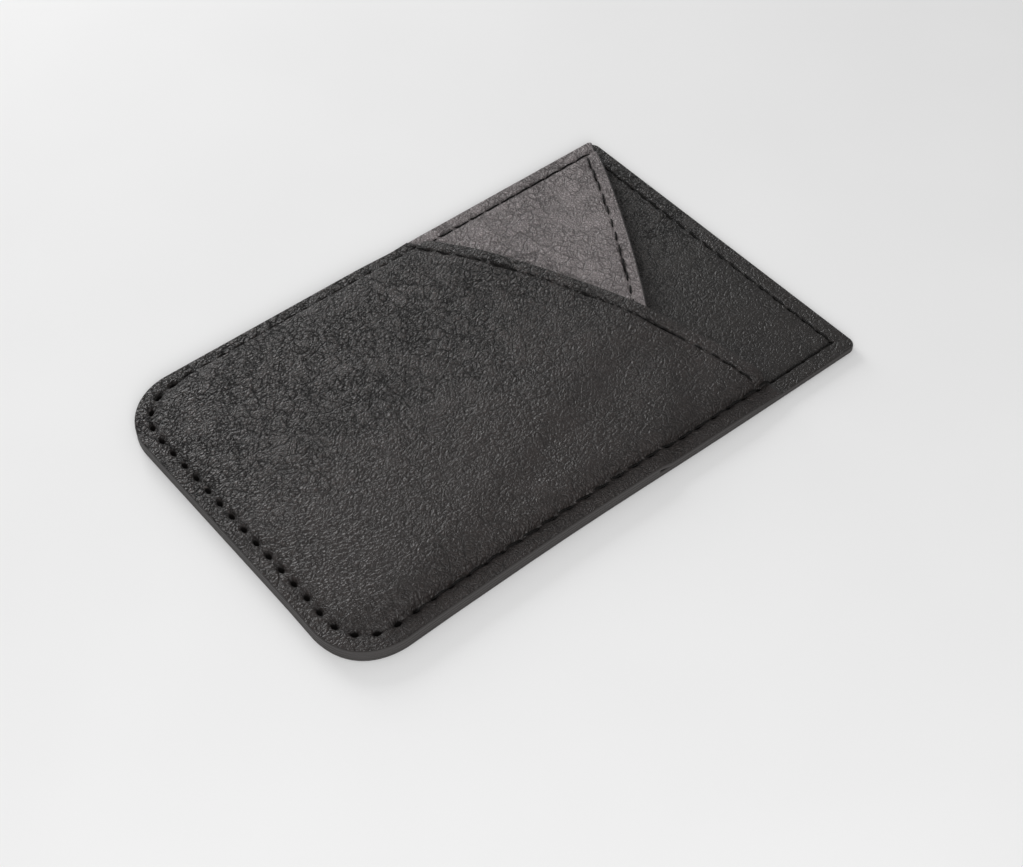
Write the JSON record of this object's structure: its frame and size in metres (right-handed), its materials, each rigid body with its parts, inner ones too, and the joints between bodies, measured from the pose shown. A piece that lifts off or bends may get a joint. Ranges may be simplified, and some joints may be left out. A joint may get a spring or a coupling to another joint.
{
  "type": "phone card holder",
  "caption": "Slim stitched leather-look pocket that sticks to the back of a phone and holds cards and folded notes behind curved, hemmed mouths.",
  "frame": {"origin": "middle of the sticky back face", "axes": "+Y from the closed end to the open end, +X to the right as seen from the front, +Z out of the phone"},
  "size_m": [0.062, 0.0958, 0.0044],
  "materials": {
    "adhesive_film": "pale satin release sheet over the adhesive",
    "backing_leather": "black faux leather, plain back",
    "facing_leather": "black faux leather, fine pebble grain",
    "middle_leather": "charcoal faux leather, fine pebble grain",
    "front_leather": "charcoal faux leather, fine pebble grain, soft sheen",
    "thread": "black sewing thread"
  },
  "bodies": {
    "root": {"adhesive_pad": "adhesive_film", "back_panel": "backing_leather", "back_facing": "facing_leather", "middle_panel": "middle_leather", "front_panel": "front_leather", "perimeter_stitching": "thread", "mouth_stitching": "thread", "inner_mouth_stitching": "thread"}
  },
  "joints": []
}
